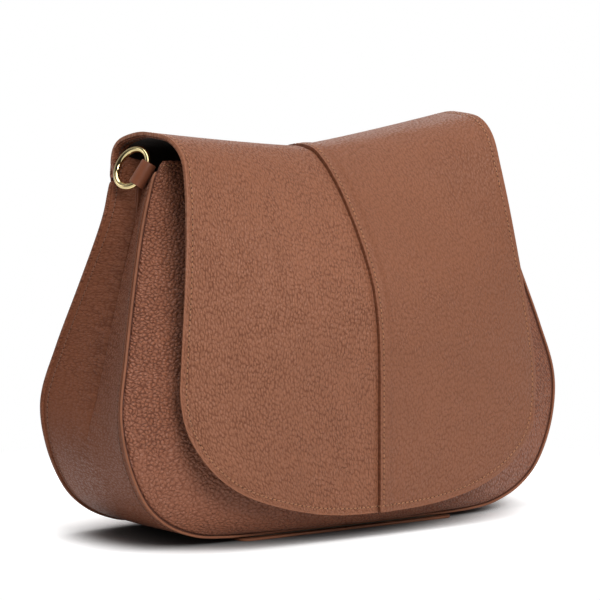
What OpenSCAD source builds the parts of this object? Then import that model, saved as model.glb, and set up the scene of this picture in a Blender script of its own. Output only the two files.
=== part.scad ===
// Crossbody saddle bag with a two-panel flap, folded gussets and a ring for the strap on each side.
// Right is +X, the back is +Y, up is +Z. The bag stands at z = 0, centred on x = 0.

/* [Body] */
// Width of the front and back panels at their widest
body_w = 328; // [280:1:380]
// Height of the panels' top corners above the floor
body_h = 234; // [205:1:265]
// How far the front seam lies in front of the middle
seam_front = 50; // [40:1:60]
// How far the back seam lies behind the middle
seam_back = 45; // [36:1:54]
// How far the front panel bulges in front of the middle
front_reach = 75; // [70:1:90]
// How far the back panel bulges behind the middle
back_reach = 66; // [58:1:80]
// How far the side gussets fold inwards at the top
fold_depth = 18; // [14:0.5:22]

/* [Leather] */
// Thickness of the front and back panels
panel_t = 1.6; // [1.2:0.1:2]
// Thickness of the side gussets
gusset_t = 1.4; // [1:0.1:1.8]
// Thickness of the lining and of the pockets
lining_t = 0.8; // [0.5:0.1:1]
// Radius of the seam edge that stands out round the panels
piping_r = 1.5; // [1.2:0.1:1.8]

/* [Base] */
// Length of the strip under the bag
base_w = 160; // [150:1:170]
// Thickness of the strip under the bag
base_t = 1.6; // [1.2:0.1:2.2]
// Thickness of the board that stiffens the base
board_t = 2; // [1.5:0.1:3]

/* [Flap] */
// Width of the flap at its widest
flap_w = 268; // [240:1:280]
// Height of the flap's lower edge above the floor, at the middle
hem_z = 15; // [10:1:24]
// Thickness of the flap's outer leather
flap_t = 1.4; // [1.2:0.1:1.8]
// Thickness of the sheet that stiffens the flap
stiffener_t = 0.5; // [0.4:0.1:0.8]
// How far the folded edge of the right flap panel stands above the left one
seam_step = 1.2; // [0.8:0.1:1.5]
// Width of that folded edge
seam_fold = 8; // [6:0.5:10]

/* [Strap rings] */
// Thickness of the ring's wire
wire_d = 4; // [3:0.2:4.6]
// Inner diameter of the ring
ring_d = 21; // [18:0.5:24]
// Width of the leather tab that holds the ring
tab_w = 16; // [13:0.5:17]
// Thickness of the tab's leather
tab_t = 1.2; // [1:0.1:1.4]
// Length of the tab's tail down the gusset
tail_h = 30; // [20:1:40]

/* [Magnetic snap] */
// Diameter of the snap
snap_d = 18; // [14:0.5:20]
// Thickness of its socket plate
socket_t = 2; // [1.6:0.1:2.4]
// Thickness of its stud plate
stud_t = 1.2; // [0.8:0.1:1.6]
// Diameter of the stud
stud_d = 4; // [3:0.2:5]
// Height of the stud
stud_h = 1.2; // [0.8:0.1:1.4]

/* [Pockets] */
// Length of the inner zip
zip_w = 150; // [120:1:160]
// Height of the zip's tape
tape_h = 24; // [20:1:28]
// Thickness of the zip's tape
tape_t = 0.6; // [0.4:0.1:0.8]
// Height of the zip's row of teeth
teeth_h = 5; // [4:0.5:6]
// Thickness of the zip's row of teeth
teeth_t = 1.4; // [1:0.1:1.8]
// Spacing of the teeth
tooth_pitch = 3; // [2.5:0.5:4]
// Length of the zip's slider
slider_w = 11; // [9:0.5:13]
// Length of the zip's puller
puller_w = 26; // [20:1:32]
// Width of the slip pocket
slip_w = 140; // [110:1:150]
// How far the slip pocket stands off the front lining
slip_gap = 9; // [7:0.5:10]

/* [Hidden] */

// Gaps between layers, and between pieces of one seam
layer_gap = 0.3;
flap_layer_gap = 0.2;
seam_gap = 0.2;
// Running clearance of pieces that move, and of the flap's root over the back panel
run_gap = 0.3;
root_gap = 0.5;
overrun = 1;

// The seam outline from the corner of the base up to the mouth. Each row holds the place along the
// outline, the share of half the width, and the share of the height.
outline_shares = [
    [0.00, 0.450, 0.000], [0.08, 0.570, 0.002], [0.16, 0.693, 0.013], [0.24, 0.816, 0.050],
    [0.32, 0.910, 0.114], [0.42, 0.980, 0.228], [0.52, 1.000, 0.349], [0.64, 0.956, 0.487],
    [0.78, 0.884, 0.668], [0.88, 0.819, 0.825], [0.95, 0.765, 0.935], [1.00, 0.727, 1.000]
];
// Depth of the front seam and of the front panel's middle, as shares of seam_front and front_reach
front_shares = [
    [0.00, 1.00, 0.667], [0.08, 0.99, 0.765], [0.16, 0.97, 0.850], [0.24, 0.96, 0.930],
    [0.32, 0.95, 0.978], [0.42, 0.93, 1.000], [0.52, 0.88, 1.000], [0.64, 0.77, 0.980],
    [0.78, 0.59, 0.850], [0.88, 0.46, 0.620], [0.95, 0.39, 0.450], [1.00, 0.36, 0.340]
];
// Depth of the back seam and of the back panel's middle, as shares of seam_back and back_reach
back_shares = [
    [0.00, 0.89, 0.606], [0.08, 0.90, 0.690], [0.16, 0.91, 0.770], [0.24, 0.93, 0.860],
    [0.32, 0.95, 0.930], [0.42, 0.98, 0.985], [0.52, 0.99, 1.000], [0.64, 0.86, 0.840],
    [0.78, 0.63, 0.490], [0.86, 0.49, 0.370], [0.90, 0.47, 0.380], [0.95, 0.555, 0.409],
    [1.00, 0.60, 0.380]
];
// How deep the gusset folds, as a share of fold_depth, along the same outline
fold_shares = [
    [0.00, 0.00], [0.32, -0.06], [0.42, 0.00], [0.52, 0.48], [0.64, 0.72], [0.78, 0.84],
    [0.90, 0.92], [1.00, 1.00]
];
fold_power = 1.4;
// Places along the outline where the mouth's dip and facing start, and where the flap is hinged
dip_share = 0.64;
facing_share = 0.88;
hinge_share = 0.95;
// How far the front panel's top edge dips at the middle, as a share of the height
mouth_dip_share = 0.075;
// Places along the outline of the rows of facets, close together round the lower corner
body_row_shares = concat(
    [0], [for (k = [2:10]) 0.042 * k], [for (k = [1:4]) 0.42 + 0.055 * k],
    [for (k = [1:4]) 0.64 + 0.06 * k], [0.915, 0.95, 0.975, 1]
);
body_columns = 14;
gusset_columns = 8;

// The flap's side edge from the hinge to its widest line. Each row holds the place along the flap, the
// share of half the flap's width, the depth as a share of hinge_y behind or of flap_reach in front, and
// the height as a share of hinge_z.
flap_edge_shares = [
    [0.00, 0.929, 1.000, 1.005], [0.02, 0.921, 1.000, 1.017], [0.06, 0.905, 1.185, 1.042],
    [0.12, 0.884, 1.246, 1.082], [0.19, 0.873, 1.012, 1.112], [0.27, 0.873, 0.365, 1.135],
    [0.35, 0.873, -0.145, 1.140], [0.43, 0.873, -0.365, 1.127], [0.50, 0.873, -0.506, 1.082],
    [0.58, 0.884, -0.579, 0.996], [0.68, 0.907, -0.640, 0.881], [0.80, 0.940, -0.695, 0.731],
    [0.90, 0.974, -0.738, 0.584], [1.00, 1.000, -0.768, 0.448]
];
// How far forward that edge lies round the lower corner, as a share of flap_reach
flap_corner_shares = [[1.00, 0.768], [1.33, 0.820], [1.67, 0.905], [2.00, 0.945]];
// The flap's middle line: the place along the flap, then its depth and height as above
flap_middle_shares = [
    [0.00, 1.000, 1.000], [0.02, 1.000, 1.010], [0.06, 0.964, 1.028], [0.12, 0.815, 1.048],
    [0.19, 0.520, 1.063], [0.27, 0.149, 1.069], [0.35, -0.098, 1.067], [0.43, -0.244, 1.041],
    [0.50, -0.378, 1.000], [0.58, -0.537, 0.936], [0.68, -0.732, 0.835], [0.80, -0.915, 0.703],
    [0.90, -0.985, 0.575], [1.00, -1.000, 0.448]
];
// How sharply the flap turns up towards its sides, along the flap
flap_power_shares = [
    [0.00, 1.40], [0.27, 1.15], [0.45, 1.30], [0.70, 2.00], [1.00, 3.00], [2.00, 6.00]
];
// The flap's lower outline is a quarter of a rounded oblong. Its corner column ends at this angle.
oblong_power = 2.5;
corner_angle = 52;
flap_row_shares = concat([for (k = [0:16]) k / 16], [for (k = [1:6]) 1 + k / 6]);
// Share of each half of the flap that holds the folded edge, and the share of that up to its step
fold_zone_share = 0.1;
fold_flat_share = 0.8;
// The stiffener keeps this far in from the flap's side edges, its upper end and its lower end
stiffener_share = 0.93;
stiffener_row_shares = [0.5, 1.84];
flap_column_shares = concat(
    [fold_zone_share * fold_flat_share],
    [for (k = [0:6]) mix(fold_zone_share, stiffener_share, k / 6)], [1]
);

function row_at(rows, t, i = 0) =
    i >= len(rows) - 2 || t < rows[i + 1][0] ? i : row_at(rows, t, i + 1);
function row_values(row) = [for (k = [1:len(row) - 1]) row[k]];
function row_slope(rows, i) =
    let (a = max(i - 1, 0), b = min(i + 1, len(rows) - 1))
    (row_values(rows[b]) - row_values(rows[a])) / (rows[b][0] - rows[a][0]);
// A smooth curve through the rows of a table
function smooth(rows, t) =
    let (i = row_at(rows, t),
         h = rows[i + 1][0] - rows[i][0],
         s = (t - rows[i][0]) / h,
         p = row_values(rows[i]),
         q = row_values(rows[i + 1]))
    p * (2 * s ^ 3 - 3 * s ^ 2 + 1) + row_slope(rows, i) * h * (s ^ 3 - 2 * s ^ 2 + s)
    + q * (3 * s ^ 2 - 2 * s ^ 3) + row_slope(rows, i + 1) * h * (s ^ 3 - s ^ 2);
function unit(v) = v / norm(v);
function mix(a, b, f) = a + (b - a) * f;
function even(n) = [for (k = [0:n]) -1 + 2 * k / n];

// The seam outline seen from the front, as [x, z] at the centre of the piping, and its outward normal
seam_z = base_t + seam_gap + piping_r;
function seam(t) =
    let (p = smooth(outline_shares, t)) [p[0] * body_w / 2, mix(seam_z, body_h, p[1])];
function seam_out(t) =
    let (d = unit(seam(min(t + 0.01, 1)) - seam(max(t - 0.01, 0)))) [d[1], -d[0]];
// A panel's edge lies beside the piping, and so does a gusset's
edge_gap = piping_r + seam_gap;
function panel_edge(t) = seam(t) - seam_out(t) * edge_gap;
function front_seam(t) = -smooth(front_shares, t)[0] * seam_front;
function back_seam(t) = smooth(back_shares, t)[0] * seam_back;
function dip(t) = mouth_dip_share * body_h * max(0, (t - dip_share) / (1 - dip_share)) ^ 2;

// Where a gusset folds, its thickness turns towards the seams, so its edges keep further off there
function fold_at(t) = smooth(fold_shares, t)[0] * fold_depth;
function gusset_margin(t) =
    let (slope = max(0, 2 * fold_power * fold_at(t) / (back_seam(t) - front_seam(t))))
    edge_gap + gusset_t * slope / norm([1, slope]);

// Points of the outer surfaces. s runs from -1 at the left seam to 1 at the right, t up the outline,
// and v from 0 at the front seam to 1 at the back.
front_surface = function (s, t)
    let (e = panel_edge(t), middle = -smooth(front_shares, t)[1] * front_reach)
    [s * e[0], mix(middle, front_seam(t), s ^ 2), e[1] - dip(t) * (1 - s ^ 2) ^ 2];
back_surface = function (s, t)
    let (e = panel_edge(t), middle = smooth(back_shares, t)[1] * back_reach)
    [s * e[0], mix(middle, back_seam(t), s ^ 2), e[1]];
gusset_surface = function (v, t)
    let (p = seam(t),
         q = p - seam_out(t) * fold_at(t) * (1 - abs(2 * v - 1) ^ fold_power))
    [q[0], mix(front_seam(t) + gusset_margin(t), back_seam(t) - gusset_margin(t), v), q[1]];

// The flap is thick enough for its leather, stiffener and lining, and stands off by the snap
stiffener_in = flap_t + flap_layer_gap;
flap_lining_in = stiffener_in + stiffener_t + flap_layer_gap;
flap_total = flap_lining_in + lining_t;
// Place of the snap along the front panel's outline
snap_share = 0.46;
snap_stack = layer_gap + socket_t + run_gap + stud_t + layer_gap;
flap_reach = snap_stack + flap_total - front_surface(0, snap_share)[1];
hinge_y = back_surface(0, hinge_share)[1];
hinge_z = back_surface(0, hinge_share)[2] + root_gap;
wide_z = smooth(flap_edge_shares, 1)[2] * hinge_z;
corner_w = flap_w / 2;
corner_h = wide_z - hem_z;
function flap_depth(share) = share * (share > 0 ? hinge_y : flap_reach);
function oblong(angle) =
    [corner_w * sin(angle) ^ (2 / oblong_power), corner_h * cos(angle) ^ (2 / oblong_power)];
function oblong_drop(x) = corner_h * (1 - (x / corner_w) ^ oblong_power) ^ (1 / oblong_power);
// The flap's edge as [x, y, z] and its middle as [y, z], at the place u along the flap
function flap_edge(u) =
    u <= 1
    ? let (e = smooth(flap_edge_shares, u)) [e[0] * corner_w, flap_depth(e[1]), e[2] * hinge_z]
    : let (p = oblong(90 - (u - 1) * (90 - corner_angle)))
        [p[0], -smooth(flap_corner_shares, u)[0] * flap_reach, wide_z - p[1]];
function flap_middle(u) =
    u <= 1
    ? let (m = smooth(flap_middle_shares, u)) [flap_depth(m[0]), m[1] * hinge_z]
    : [-flap_reach, wide_z - corner_h * (u - 1)];
// The share of the way from the middle to the edge at the share s of the width
lowest = oblong(corner_angle);
function flap_turn(s, u) =
    u <= 1 ? s ^ smooth(flap_power_shares, u)[0]
    : (corner_h - oblong_drop(s * lowest[0])) / (corner_h - lowest[1]);
// q runs from -1 at the flap's left edge to 1 at its right. The folded edge keeps its own width.
function flap_x(q, w) =
    q < fold_zone_share ? q / fold_zone_share * seam_fold / fold_flat_share
    : mix(seam_fold / fold_flat_share, w, (q - fold_zone_share) / (1 - fold_zone_share));
flap_surface = function (q, u)
    let (e = flap_edge(u), m = flap_middle(u), x = flap_x(abs(q), e[0]), s = x / e[0])
    [sign(q) * x,
     mix(m[0], e[1], s ^ smooth(flap_power_shares, u)[0]),
     mix(m[1], e[2], flap_turn(s, u))];

// The outward normal of a surface at (a, b). side is 1 or -1, whichever makes it point outwards.
reach_share = 0.002;
function normal(f, a, b, side) =
    side * unit(cross(f(a + reach_share, b) - f(a - reach_share, b),
        f(a, b + reach_share) - f(a, b - reach_share)));
// A sheet between two depths under a surface, over the columns as and the rows bs. A depth is a length
// or a function of the place. Beyond the limits, the normal is the one at the limits, because rows and
// columns run alongside each other where they meet at a rounded corner. They are the most that a may be
// on either side, the least that b may be and the most.
panel_limits = [0.93, 0.08, 1];
flap_limits = [0.93, 0, 1.84];
function depth_at(depth, a, b) = is_function(depth) ? depth(a, b) : depth;
function sheet_grid(f, side, as, bs, depth, limits = panel_limits) = [
    for (b = bs) [
        for (a = as)
            f(a, b) - depth_at(depth, a, b)
                * normal(f, sign(a) * min(abs(a), limits[0]), max(limits[1], min(b, limits[2])), side)
    ]
];
module sheet(f, side, as, bs, outer, inner, limits = panel_limits) {
    grids = [for (depth = [outer, inner]) sheet_grid(f, side, as, bs, depth, limits)];
    n = len(as);
    m = len(bs);
    function at(k, i, j) = (k * m + i) * n + j;
    function quad(p, q, r, s) = side > 0 ? [[p, r, q], [p, s, r]] : [[p, q, r], [p, r, s]];
    // The facets of the right half lean the other way, as a mirror image
    function leaning(j, p, q, r, s) = as[j] + as[j + 1] > 0 ? quad(q, r, s, p) : quad(p, q, r, s);
    polyhedron(
        [for (g = grids) for (row = g) each row],
        concat(
            [for (i = [0:m - 2]) for (j = [0:n - 2])
                each leaning(j, at(0, i, j), at(0, i, j + 1), at(0, i + 1, j + 1), at(0, i + 1, j))],
            [for (i = [0:m - 2]) for (j = [0:n - 2])
                each leaning(j, at(1, i, j), at(1, i + 1, j), at(1, i + 1, j + 1), at(1, i, j + 1))],
            [for (j = [0:n - 2]) each concat(
                quad(at(0, 0, j), at(1, 0, j), at(1, 0, j + 1), at(0, 0, j + 1)),
                quad(at(0, m - 1, j), at(0, m - 1, j + 1), at(1, m - 1, j + 1), at(1, m - 1, j)))],
            [for (i = [0:m - 2]) each concat(
                quad(at(0, i, 0), at(0, i + 1, 0), at(1, i + 1, 0), at(1, i, 0)),
                quad(at(0, i, n - 1), at(1, i, n - 1), at(1, i + 1, n - 1), at(0, i + 1, n - 1)))]
        )
    );
}

leather = "sienna";
dark_leather = "saddlebrown";
cloth = "tan";
metal = "gold";

// Panels of the body
front_side = 1;
back_side = -1;
gusset_side = 1;
flap_side = -1;
lining_from = panel_t + layer_gap;
gusset_lining_from = gusset_t + layer_gap;
function rows_between(a, b) = [for (t = body_row_shares) if (t >= a && t <= b) t];
// Linings start above the base and stop short of the gussets at their sides
lining_share = 0.04;
lining_column_shares = (1 - (gusset_t + lining_t + 4 * layer_gap) / (body_w / 2)) * even(body_columns);

module front_panel()
    color(leather)
    sheet(front_surface, front_side, even(body_columns), body_row_shares, 0, panel_t);
module back_panel()
    color(leather)
    sheet(back_surface, back_side, even(body_columns), rows_between(0, hinge_share), 0, panel_t);
module front_lining()
    color(cloth)
    sheet(front_surface, front_side, lining_column_shares, rows_between(lining_share, facing_share),
        lining_from, lining_from + lining_t);
module back_lining()
    color(cloth)
    sheet(back_surface, back_side, lining_column_shares, rows_between(lining_share, facing_share),
        lining_from, lining_from + lining_t);
gusset_column_shares = [for (k = [0:gusset_columns]) k / gusset_columns];
module right_gusset()
    color(dark_leather)
    sheet(gusset_surface, gusset_side, gusset_column_shares, body_row_shares, 0, gusset_t);
module left_gusset() mirror([1, 0, 0]) right_gusset();
// The gusset's lining runs between the linings of the two panels
gusset_lining_inset = panel_t + 2 * lining_t + 4 * layer_gap;
gusset_lining_surface = function (v, t)
    let (share = gusset_lining_inset / (back_seam(t) - front_seam(t)))
    gusset_surface(mix(share, 1 - share, v), t);
module right_gusset_lining()
    color(cloth)
    sheet(gusset_lining_surface, gusset_side, gusset_column_shares, body_row_shares,
        gusset_lining_from, gusset_lining_from + lining_t);
module left_gusset_lining() mirror([1, 0, 0]) right_gusset_lining();

// Piping: a rounded edge along the seam, left side, base and right side in one run
piping_sides = 6;
function piping_path(depth, last) =
    let (ts = rows_between(0, last), n = len(ts) - 1)
    concat(
        [for (k = [0:n]) let (t = ts[n - k], p = seam(t), o = seam_out(t))
            [[-p[0], depth(t), p[1]], [-o[0], 0, o[1]]]],
        [for (t = ts) let (p = seam(t), o = seam_out(t)) [[p[0], depth(t), p[1]], [o[0], 0, o[1]]]]
    );
module piping(path) {
    n = len(path);
    function at(i, k) = i * piping_sides + (k + piping_sides) % piping_sides;
    polyhedron(
        [for (p = path) for (k = [0:piping_sides - 1])
            let (angle = 360 * k / piping_sides)
            p[0] + piping_r * (p[1] * cos(angle) + [0, sin(angle), 0])],
        concat(
            [for (i = [0:n - 2]) for (k = [0:piping_sides - 1])
                each [[at(i, k), at(i + 1, k), at(i + 1, k + 1)],
                      [at(i, k), at(i + 1, k + 1), at(i, k + 1)]]],
            [[for (k = [0:piping_sides - 1]) at(0, k)], [for (k = [1:piping_sides]) at(n - 1, -k)]]
        )
    );
}
module front_piping() color(leather) piping(piping_path(function (t) front_seam(t), 1));
module back_piping()
    color(leather)
    piping(piping_path(function (t) back_seam(t), body_row_shares[len(rows_between(0, hinge_share)) - 2]));

// Base: the strip under the bag, the board on it and its lining
module base_slab(w, front, back, z, t, r)
    translate([0, 0, z])
    linear_extrude(t) {
        translate([-w / 2, r - front]) square([w, front + back - 2 * r]);
        translate([r - w / 2, -front]) square([w - 2 * r, front + back]);
        for (x = [-1, 1]) {
            translate([x * (w / 2 - r), r - front]) circle(r, $fn = 32);
            translate([x * (w / 2 - r), back - r]) circle(r, $fn = 32);
        }
    }
base_corner = 4 * base_t;
module base_strip()
    color(dark_leather)
    base_slab(base_w, seam_front + piping_r, back_seam(0) + piping_r, 0, base_t, base_corner);
board_w = 2 * (seam(0)[0] - edge_gap);
board_front = seam_front - 2 * edge_gap;
board_back = back_seam(0) - 2 * edge_gap;
module base_board()
    color(dark_leather)
    base_slab(board_w, board_front, board_back, base_t, board_t, board_t);
module base_lining()
    color(cloth)
    base_slab(board_w, board_front, board_back, base_t + board_t, lining_t, board_t);

// Facings inside the mouth continue the linings upwards
facing_gap_share = seam_gap / body_h;
function facing_rows(last) =
    concat([facing_share + facing_gap_share], rows_between(facing_share + 2 * facing_gap_share, last));
module front_facing()
    color(leather)
    sheet(front_surface, front_side, lining_column_shares, facing_rows(1),
        lining_from, lining_from + lining_t);
module back_facing()
    color(leather)
    sheet(back_surface, back_side, lining_column_shares, facing_rows(hinge_share),
        lining_from, lining_from + lining_t);

// Slip pocket: a sheet on the front lining that stands off it and is open at the top
slip_row_shares = [0.42, 0.44, 0.47, 0.53, 0.585, 0.64, 0.7];
slip_column_shares = [-1, -0.88, -0.6, -0.3, 0, 0.3, 0.6, 0.88, 1];
// Its sides and its foot rise from the lining over these shares of its width and of the outline
slip_side_share = 0.12;
slip_foot_share = 0.05;
slip_surface = function (q, t) front_surface(q * slip_w / 2 / panel_edge(t)[0], t);
slip_depth = function (q, t)
    lining_from + lining_t + layer_gap
    + slip_gap * min(1, (1 - abs(q)) / slip_side_share) * min(1, (t - slip_row_shares[0]) / slip_foot_share);
module slip_pocket()
    color(cloth)
    sheet(slip_surface, front_side, slip_column_shares, slip_row_shares, slip_depth,
        function (q, t) slip_depth(q, t) + lining_t);

// Flap
left_column_shares = [for (k = [len(flap_column_shares) - 1:-1:0]) -flap_column_shares[k]];
seam_column_share = fold_zone_share * fold_flat_share * seam_gap / 2 / seam_fold;
folded_edge = function (q, u) q <= fold_zone_share * fold_flat_share ? -seam_step : 0;
module flap_sheet(columns, rows, outer, inner)
    sheet(flap_surface, flap_side, columns, rows, outer, inner, flap_limits);
module flap_left_panel()
    color(leather)
    flap_sheet(concat(left_column_shares, [-seam_column_share]), flap_row_shares, 0, flap_t);
module flap_right_panel()
    color(leather)
    flap_sheet(concat([seam_column_share], flap_column_shares), flap_row_shares, folded_edge, flap_t);
module flap_lining()
    color(cloth)
    flap_sheet(concat(left_column_shares, [0], flap_column_shares), flap_row_shares,
        flap_lining_in, flap_total);
module flap_stiffener()
    color("dimgray")
    flap_sheet(
        [for (q = concat(left_column_shares, [0], flap_column_shares)) if (abs(q) <= stiffener_share) q],
        [for (u = flap_row_shares) if (u >= stiffener_row_shares[0] && u <= stiffener_row_shares[1]) u],
        stiffener_in, stiffener_in + stiffener_t);

// Strap ring and its tab, described for the left side. The tab wraps the ring's wire in a roll whose
// axis leans inwards and forwards, and its two layers run on into the fold of the gusset.
ring_r = (ring_d + wire_d) / 2;
wire_sag = ring_r - sqrt(ring_r ^ 2 - (tab_w / 2) ^ 2);
roll_bore_r = wire_sag / 2 + wire_d / 2 + run_gap;
roll_r = roll_bore_r + tab_t;
ring_off = ring_r - wire_sag / 2;
roll_lean_fore = 12;
roll_lean_in = 30;
ring_rest_angle = 10;
tab_share = 0.965;
// The deepest line of the left gusset's fold, and the tab's roll outside it
function crease(t) = let (p = gusset_surface(0.5, t)) [-p[0], p[1], p[2]];
tab_seat = tab_t + 3 * layer_gap;
roll_shift_shares = [-2.6, -1.15, 1.4];
roll_place = crease(tab_share) + roll_r * roll_shift_shares;
// The wire leaves the roll at a slant, so the bore flares at its ends to clear the wire's inner side
wire_in_r = ring_r - wire_d / 2;
flare_r = ring_off - sqrt(wire_in_r ^ 2 - (tab_w / 2) ^ 2) + run_gap;
flare_l = tab_w / 2 - sqrt(wire_in_r ^ 2 - (ring_off + run_gap - roll_bore_r) ^ 2);
// The web from the roll into the fold, and the tail's lower end, as places along the outline
web_angle = 5;
web_l = 2 * roll_r;
web_shares = [tab_share + 0.02, tab_share - 0.02];
upper_rise_share = 1.5;
tail_shares = [for (k = [0:2]) web_shares[1] - k / 2 * tail_h / body_h / upper_rise_share];
module roll_frame() translate(roll_place) rotate([roll_lean_fore, roll_lean_in, 0]) children();
module tab_block(t, w) translate(crease(t) - [tab_seat - tab_t / 2 + w / 2, 0, 0])
    cube([w, 2 * tab_t, tab_t], center = true);
module left_tab()
    color(dark_leather)
    difference() {
        union() {
            roll_frame() {
                cylinder(r = roll_r, h = tab_w, center = true, $fn = 48);
                rotate([0, 0, web_angle])
                    translate([0, roll_bore_r + layer_gap, layer_gap - tab_w / 2])
                    cube([web_l, tab_t - 2 * layer_gap, tab_w - 2 * layer_gap]);
            }
            hull() {
                roll_frame()
                    rotate([0, 0, web_angle])
                    translate([web_l - overrun, roll_bore_r, -tab_w / 2])
                    cube([overrun, tab_t, tab_w]);
                tab_block(web_shares[0], tab_t);
                tab_block(web_shares[1], tab_t);
            }
            for (k = [0, 1])
                hull() {
                    tab_block(tail_shares[k], (3 - k / 2) * tab_t);
                    tab_block(tail_shares[k + 1], (2.5 - k / 2) * tab_t);
                }
        }
        roll_frame() {
            cylinder(r = roll_bore_r, h = tab_w + 2 * overrun, center = true, $fn = 48);
            for (turn = [0, 180])
                rotate([turn, 0, 0])
                translate([0, 0, tab_w / 2 - flare_l])
                cylinder(r1 = roll_bore_r, r2 = 2 * flare_r - roll_bore_r, h = 2 * flare_l, $fn = 48);
        }
    }
module right_tab() mirror([1, 0, 0]) left_tab();
module left_ring()
    color(metal)
    roll_frame()
    rotate([0, 0, ring_rest_angle])
    translate([0, ring_off, 0])
    rotate([0, 90, 0])
    rotate_extrude($fn = 64)
    translate([ring_r, 0])
    circle(d = wire_d, $fn = 24);
module right_ring() mirror([1, 0, 0]) left_ring();

// Magnetic snap: a socket on the front panel and a stud inside the flap. The stud swings out on an arc
// round the hinge, so it has play in its socket.
snap_place = front_surface(0, snap_share);
stud_play = 1.5;
module snap_socket()
    color(metal)
    translate([0, snap_place[1] - layer_gap, snap_place[2]])
    rotate([90, 0, 0])
    difference() {
        cylinder(d = snap_d, h = socket_t, $fn = 48);
        translate([0, 0, socket_t - stud_h - run_gap])
            cylinder(r = stud_d / 2 + stud_play, h = stud_h + overrun, $fn = 48);
    }
module snap_stud()
    color(metal)
    translate([0, flap_total + layer_gap - flap_reach, snap_place[2]])
    rotate([-90, 0, 0]) {
        cylinder(d = snap_d, h = stud_t, $fn = 48);
        cylinder(d = stud_d, h = stud_t + stud_h, $fn = 48);
    }

// Zip pocket on the back lining
zip_share = 0.84;
zip_z = panel_edge(zip_share)[1];
zip_seat_shares = [0.79, 0.815, 0.84, 0.86, 0.88];
zip_back = min([
    for (row = sheet_grid(back_surface, back_side, [0, zip_w / 2 / panel_edge(zip_share)[0]],
        zip_seat_shares, lining_from + lining_t)) for (p = row) p[1]
]) - layer_gap;
tape_margin = 6;
stop_w = 3;
slider_plate_t = 1.2;
slider_flange = 1.2;
crown_w = 5;
crown_t = 3.4;
crown_h = 4;
puller_bar_r = 0.8;
puller_arm = 1.4;
puller_t = 1.2;
zip_face = zip_back - tape_t;
slider_h = teeth_h + 2 * (run_gap + slider_flange);
slider_travel = zip_w - 2 * stop_w - slider_w - 2 * run_gap;
module zip_frame() translate([0, zip_face, zip_z]) children();
module zip_slider_frame()
    translate([slider_travel / 2, zip_face - teeth_t - run_gap, zip_z]) children();
module zip_tape()
    color(cloth)
    zip_frame()
    translate([-zip_w / 2 - tape_margin, 0, -tape_h / 2])
    cube([zip_w + 2 * tape_margin, tape_t, tape_h]);
module zip_teeth()
    color(metal)
    zip_frame() {
        teeth = floor((zip_w - 2 * stop_w) / tooth_pitch);
        translate([-zip_w / 2, -teeth_t / 2, -teeth_h / 8]) cube([zip_w, teeth_t / 2, teeth_h / 4]);
        for (k = [0:teeth - 1])
            translate([(k - (teeth - 1) / 2) * tooth_pitch, -teeth_t / 2, (k % 2 - 0.5) * teeth_h / 8])
            cube([tooth_pitch / 2, teeth_t, teeth_h * 7 / 8], center = true);
        for (x = [-1, 1])
            translate([x * (zip_w - stop_w) / 2, -teeth_t / 2, 0])
            cube([stop_w, teeth_t, teeth_h], center = true);
    }
module zip_slider()
    color(metal)
    zip_slider_frame() {
        translate([-slider_w / 2, -slider_plate_t, -slider_h / 2])
            cube([slider_w, slider_plate_t, slider_h]);
        for (z = [-1, 1])
            translate([-slider_w / 2, -slider_plate_t, (z * (slider_h - slider_flange) - slider_flange) / 2])
            cube([slider_w, slider_plate_t + teeth_t, slider_flange]);
        difference() {
            translate([-crown_w / 2, -slider_plate_t - crown_t, -crown_h / 2])
                cube([crown_w, crown_t, crown_h]);
            translate([0, -slider_plate_t - crown_t / 2, 0])
                cylinder(r = puller_bar_r + run_gap, h = crown_h + 2 * overrun, center = true, $fn = 32);
        }
    }
module zip_puller()
    color(metal)
    zip_slider_frame()
    translate([0, -slider_plate_t - crown_t / 2, 0]) {
        arm_z = crown_h / 2 + run_gap;
        eye = crown_w * 0.75;
        cylinder(r = puller_bar_r, h = 2 * (arm_z + puller_arm), center = true, $fn = 32);
        for (z = [-1, 1])
            translate([-eye - puller_arm, -puller_t / 2, z * (arm_z + puller_arm / 2) - puller_arm / 2])
            cube([eye + puller_arm, puller_t, puller_arm]);
        translate([-puller_w, -puller_t / 2, -arm_z - puller_arm])
            cube([puller_w - eye, puller_t, 2 * (arm_z + puller_arm)]);
    }

front_panel();
back_panel();
left_gusset();
right_gusset();
base_strip();
front_piping();
back_piping();
front_lining();
back_lining();
left_gusset_lining();
right_gusset_lining();
base_board();
base_lining();
front_facing();
back_facing();
slip_pocket();
flap_left_panel();
flap_right_panel();
flap_stiffener();
flap_lining();
zip_tape();
zip_teeth();
zip_slider();
zip_puller();
left_tab();
right_tab();
left_ring();
right_ring();
snap_socket();
snap_stud();
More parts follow.
